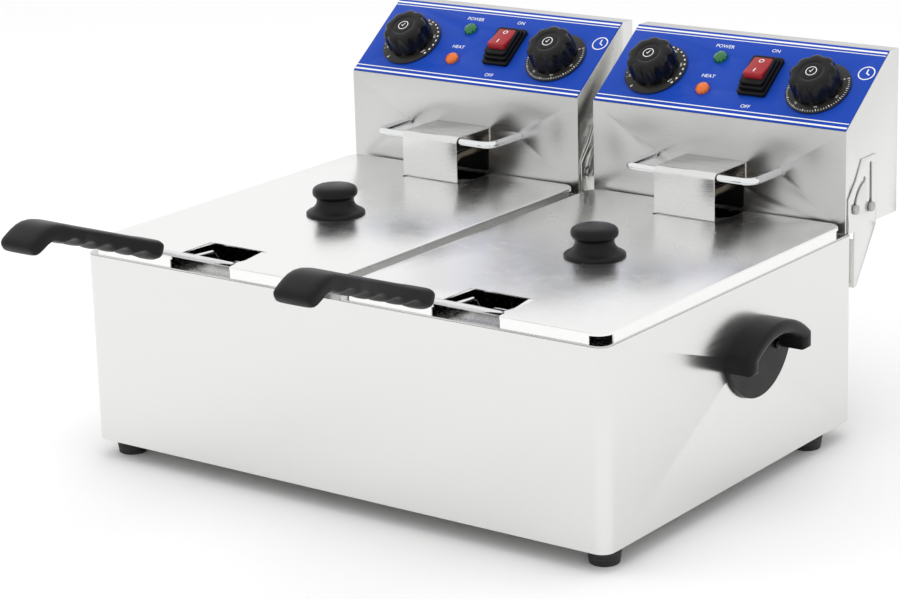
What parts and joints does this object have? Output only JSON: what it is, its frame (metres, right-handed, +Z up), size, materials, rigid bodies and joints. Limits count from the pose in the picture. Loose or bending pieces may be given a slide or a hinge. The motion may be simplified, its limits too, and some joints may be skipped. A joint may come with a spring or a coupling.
{
  "type": "deep fryer",
  "caption": "Countertop electric deep fryer with twin tanks, polished lids, handled wire baskets and tilting control heads carrying the heating elements.",
  "frame": {"origin": "on the table, under the middle of the bounding box", "axes": "+X to the right of someone facing the controls, +Y to the back, +Z up"},
  "size_m": [0.612, 0.73, 0.3497],
  "materials": {
    "cabinet_steel": "polished stainless sheet",
    "plain_steel": "mill-finished stainless sheet",
    "tank_steel": "deep-drawn stainless, satin",
    "head_steel": "brushed stainless sheet",
    "lid_steel": "mirror-polished stainless",
    "chrome_wire": "bright chrome",
    "basket_wire": "nickel-plated wire mesh",
    "element_steel": "heat-tinted stainless tube",
    "zinc_screw": "zinc-plated",
    "copper": "copper bulb and capillary",
    "blue_panel": "printed blue foil",
    "handle_plastic": "moulded bakelite, satin",
    "knob_plastic": "moulded bakelite, semi-gloss",
    "switch_black": "moulded, semi-gloss",
    "rocker_red": "red translucent rocker",
    "lamp_green": "green lens",
    "lamp_orange": "orange lens",
    "control_body": "moulded control body",
    "rubber": "moulded rubber"
  },
  "bodies": {
    "cabinet": {"cabinet_shell": "cabinet_steel", "base_plate": "plain_steel", "deck": "plain_steel", "feet": "rubber", "foot_screws": "zinc_screw", "side_handle_left": "handle_plastic", "side_handle_right": "handle_plastic", "handle_screws": "zinc_screw", "tank_left": "tank_steel", "tank_right": "tank_steel", "bracket_left_outer": "cabinet_steel", "bracket_left_inner": "cabinet_steel", "bracket_right_inner": "cabinet_steel", "bracket_right_outer": "cabinet_steel"},
    "head_left": {"head_shell_left": "head_steel", "head_back_left": "plain_steel", "fascia_left": "blue_panel", "thermostat_left": "control_body", "timer_left": "control_body", "switch_housing_left": "switch_black", "power_lamp_left": "lamp_green", "heat_lamp_left": "lamp_orange", "element_left": "element_steel", "sensor_left": "copper", "guard_left": "head_steel", "hanger_rod_left": "chrome_wire", "tilt_screws_left": "zinc_screw", "cable_gland_left": "switch_black"},
    "thermostat_knob_left": {"thermostat_knob_left": "knob_plastic"},
    "timer_knob_left": {"timer_knob_left": "knob_plastic"},
    "rocker_left": {"rocker_left": "rocker_red"},
    "lid_left": {"lid_left": "lid_steel", "lid_knob_left": "knob_plastic", "lid_screw_left": "zinc_screw"},
    "basket_left": {"basket_left": "basket_wire", "handle_wires_left": "chrome_wire", "grip_left": "handle_plastic"},
    "head_right": {"head_shell_right": "head_steel", "head_back_right": "plain_steel", "fascia_right": "blue_panel", "thermostat_right": "control_body", "timer_right": "control_body", "switch_housing_right": "switch_black", "power_lamp_right": "lamp_green", "heat_lamp_right": "lamp_orange", "element_right": "element_steel", "sensor_right": "copper", "guard_right": "head_steel", "hanger_rod_right": "chrome_wire", "tilt_screws_right": "zinc_screw", "cable_gland_right": "switch_black"},
    "thermostat_knob_right": {"thermostat_knob_right": "knob_plastic"},
    "timer_knob_right": {"timer_knob_right": "knob_plastic"},
    "rocker_right": {"rocker_right": "rocker_red"},
    "lid_right": {"lid_right": "lid_steel", "lid_knob_right": "knob_plastic", "lid_screw_right": "zinc_screw"},
    "basket_right": {"basket_right": "basket_wire", "handle_wires_right": "chrome_wire", "grip_right": "handle_plastic"}
  },
  "joints": [
    {"name": "head_tilt_left", "type": "hinge", "parent": "cabinet", "child": "head_left", "pos_m": [-0.1435, 0.2972, 0.211], "axis": [-1, 0, 0], "range_deg": [0, 60]},
    {"name": "thermostat_turn_left", "type": "hinge", "parent": "head_left", "child": "thermostat_knob_left", "pos_m": [-0.23, 0.29037, 0.31449], "axis": [0, -0.5888, 0.8083], "range_deg": [0, 270]},
    {"name": "timer_turn_left", "type": "hinge", "parent": "head_left", "child": "timer_knob_left", "pos_m": [-0.057, 0.29037, 0.31449], "axis": [0, -0.5888, 0.8083], "range_deg": [0, 300]},
    {"name": "rocker_tip_left", "type": "hinge", "parent": "head_left", "child": "rocker_left", "pos_m": [-0.1195, 0.29335, 0.31975], "axis": [1, 0, 0], "range_deg": [0, 24]},
    {"name": "lid_lift_left", "type": "slide", "parent": "head_left", "child": "lid_left", "axis": [0, -0.8387, 0.5446], "range_m": [0, 0.48]},
    {"name": "basket_lift_left", "type": "slide", "parent": "head_left", "child": "basket_left", "axis": [0, 0, 1], "range_m": [0, 0.12]},
    {"name": "head_tilt_right", "type": "hinge", "parent": "cabinet", "child": "head_right", "pos_m": [0.1435, 0.2972, 0.211], "axis": [-1, 0, 0], "range_deg": [0, 60]},
    {"name": "thermostat_turn_right", "type": "hinge", "parent": "head_right", "child": "thermostat_knob_right", "pos_m": [0.057, 0.29037, 0.31449], "axis": [0, -0.5888, 0.8083], "range_deg": [0, 270]},
    {"name": "timer_turn_right", "type": "hinge", "parent": "head_right", "child": "timer_knob_right", "pos_m": [0.23, 0.29037, 0.31449], "axis": [0, -0.5888, 0.8083], "range_deg": [0, 300]},
    {"name": "rocker_tip_right", "type": "hinge", "parent": "head_right", "child": "rocker_right", "pos_m": [0.1675, 0.29335, 0.31975], "axis": [1, 0, 0], "range_deg": [0, 24]},
    {"name": "lid_lift_right", "type": "slide", "parent": "head_right", "child": "lid_right", "axis": [0, -0.8387, 0.5446], "range_m": [0, 0.48]},
    {"name": "basket_lift_right", "type": "slide", "parent": "head_right", "child": "basket_right", "axis": [0, 0, 1], "range_m": [0, 0.12]}
  ],
  "couplings": [
    {"joint": "basket_lift_left", "follows": "lid_lift_left", "ratio": 0.24},
    {"joint": "basket_lift_right", "follows": "lid_lift_right", "ratio": 0.24}
  ]
}
